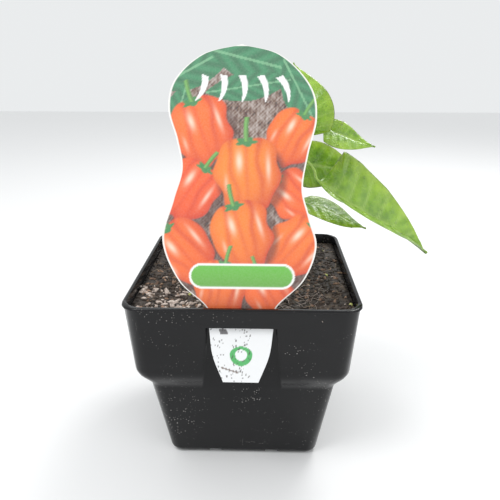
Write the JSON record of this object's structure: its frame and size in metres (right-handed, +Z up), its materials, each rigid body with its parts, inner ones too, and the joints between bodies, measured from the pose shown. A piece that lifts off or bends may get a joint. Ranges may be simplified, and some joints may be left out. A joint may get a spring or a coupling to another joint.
{
  "type": "potted chilli pepper plant",
  "caption": "Young chilli pepper plant in a square black nursery pot filled with potting mix, with a printed waisted plant label pushed through the pot's front slot.",
  "frame": {"origin": "centre of the pot's underside, on the surface it stands on", "axes": "+Z up, +X to the right seen from the label's printed side, +Y to the back of the pot"},
  "size_m": [0.1374, 0.1083, 0.1841],
  "materials": {
    "pot_plastic": "gloss",
    "label_plastic": "satin",
    "potting_mix": "matte",
    "stem": "satin",
    "leaf": "gloss",
    "young_leaf": "gloss"
  },
  "bodies": {
    "root": {"pot": "pot_plastic", "plant_label": "label_plastic", "potting_mix": "potting_mix", "main_stem": "stem", "leaf_large": "leaf", "leaf_behind_large": "leaf", "leaf_lower_right": "leaf", "leaf_upper": "leaf", "leaf_small_right": "leaf", "leaf_back": "leaf", "leaf_back_left": "leaf", "leaf_lower_left": "leaf", "young_leaf_back": "young_leaf", "young_leaf_tip": "young_leaf"}
  },
  "joints": []
}
